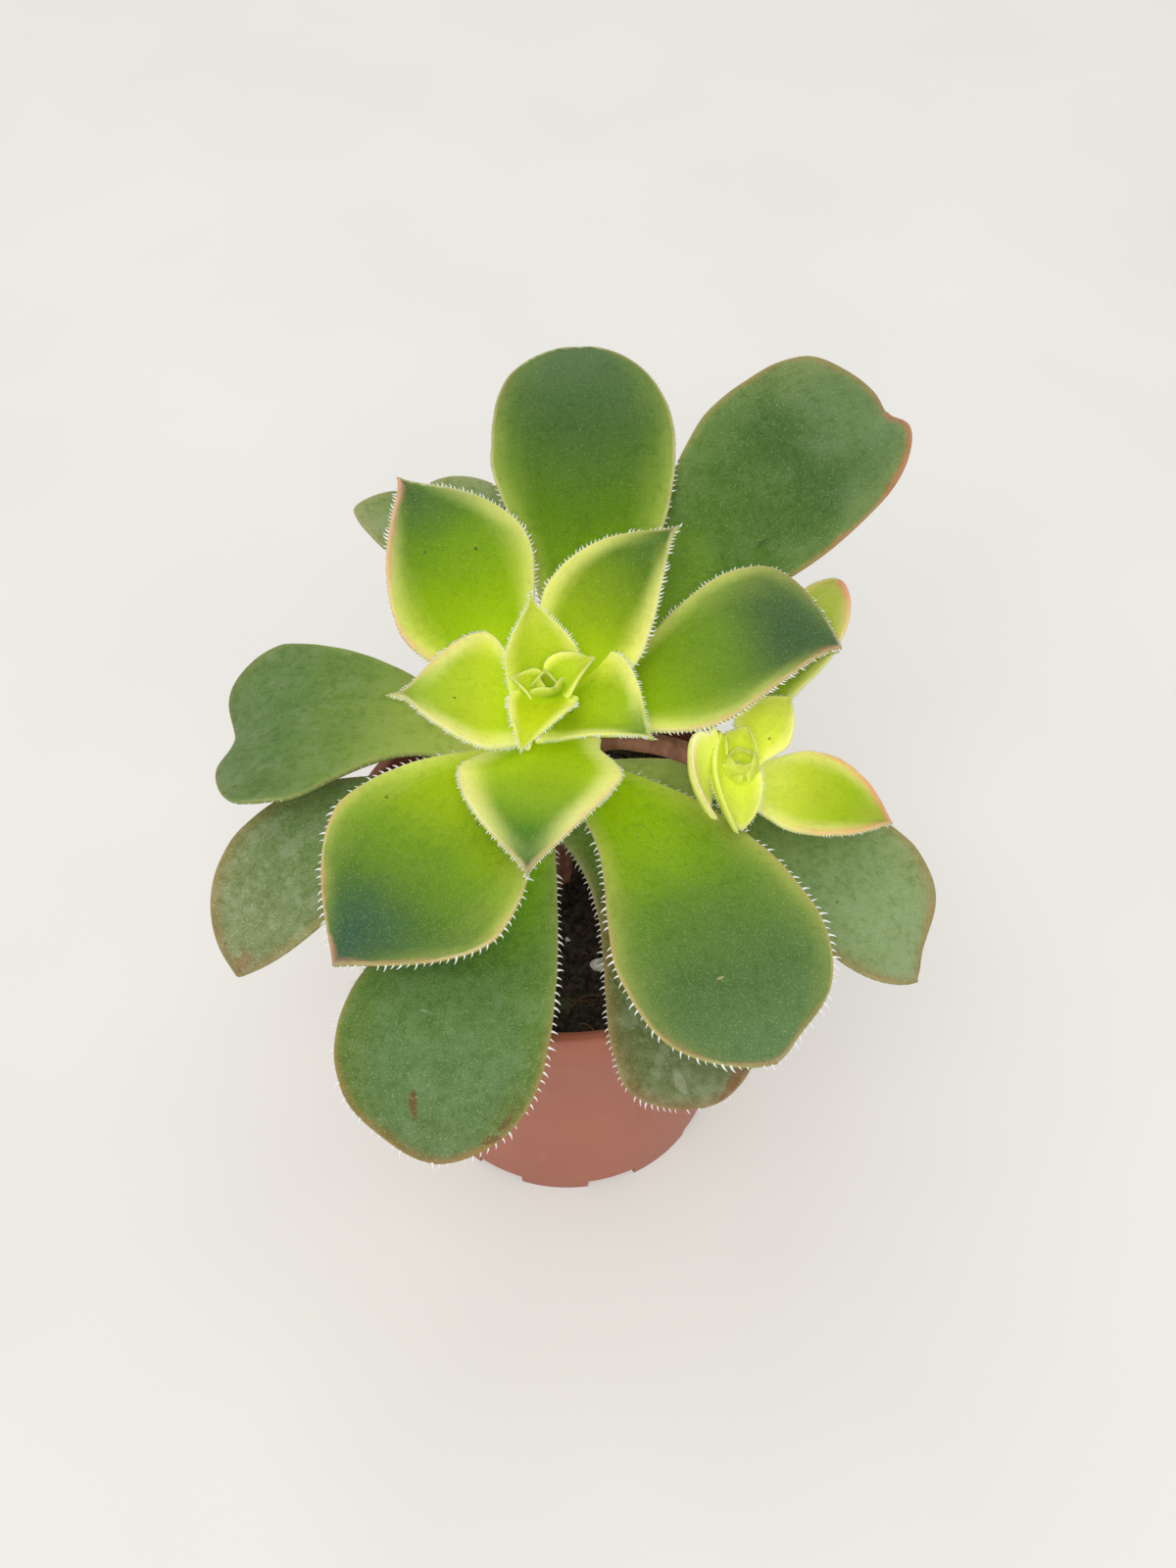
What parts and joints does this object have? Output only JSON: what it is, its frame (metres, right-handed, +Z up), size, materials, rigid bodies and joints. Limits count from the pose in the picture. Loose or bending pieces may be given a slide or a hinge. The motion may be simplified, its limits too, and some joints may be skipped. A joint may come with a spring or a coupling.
{
  "type": "potted kiwi aeonium",
  "caption": "Small potted aeonium: a rosette of thick spoon-shaped leaves on a short brown stem, with one side rosette on a branch, in a round tapered nursery pot.",
  "frame": {"origin": "centre of the pot's underside, on the surface that it stands on", "axes": "+Z up along the pot's axis, -Y towards the front, +X to the right, where the side rosette is"},
  "size_m": [0.0837, 0.0948, 0.0916],
  "materials": {
    "terracotta_plastic": "matt moulded plastic with a faint grain, warm pinkish brown",
    "potting_mix": "dark damp peat with fibres and fine crumbs",
    "perlite": "white porous grain",
    "stem_bark": "smooth brown bark, greener towards the leaves",
    "outer_leaf_skin": "matt velvety green with pale dust, pink to brown margins and white hairs",
    "middle_leaf_skin": "matt green, yellow-green towards the margins, dark tip, cream and pink margins with white hairs",
    "inner_leaf_skin": "matt yellow-green with a greener midline and cream to pink margins with white hairs",
    "bud_leaf_skin": "matt bright yellow-green young leaves"
  },
  "bodies": {
    "root": {"pot": "terracotta_plastic", "potting_mix": "potting_mix", "forked_stem": "stem_bark", "perlite_grain_1": "perlite", "perlite_grain_2": "perlite", "perlite_grain_3": "perlite", "outer_leaf_1": "outer_leaf_skin", "outer_leaf_2": "outer_leaf_skin", "outer_leaf_3": "outer_leaf_skin", "outer_leaf_4": "outer_leaf_skin", "outer_leaf_5": "outer_leaf_skin", "outer_leaf_6": "outer_leaf_skin", "outer_leaf_7": "outer_leaf_skin", "outer_leaf_8": "outer_leaf_skin", "outer_leaf_9": "outer_leaf_skin", "outer_leaf_10": "outer_leaf_skin", "middle_leaf_1": "middle_leaf_skin", "middle_leaf_2": "middle_leaf_skin", "middle_leaf_3": "middle_leaf_skin", "inner_leaf_1": "inner_leaf_skin", "inner_leaf_2": "inner_leaf_skin", "inner_leaf_3": "inner_leaf_skin", "inner_leaf_4": "inner_leaf_skin", "inner_leaf_5": "inner_leaf_skin", "offset_leaf_1": "inner_leaf_skin", "offset_leaf_2": "inner_leaf_skin", "offset_leaf_3": "inner_leaf_skin", "offset_leaf_4": "inner_leaf_skin", "offset_leaf_5": "inner_leaf_skin", "heart_bud": "bud_leaf_skin", "offset_bud": "bud_leaf_skin"}
  },
  "joints": []
}
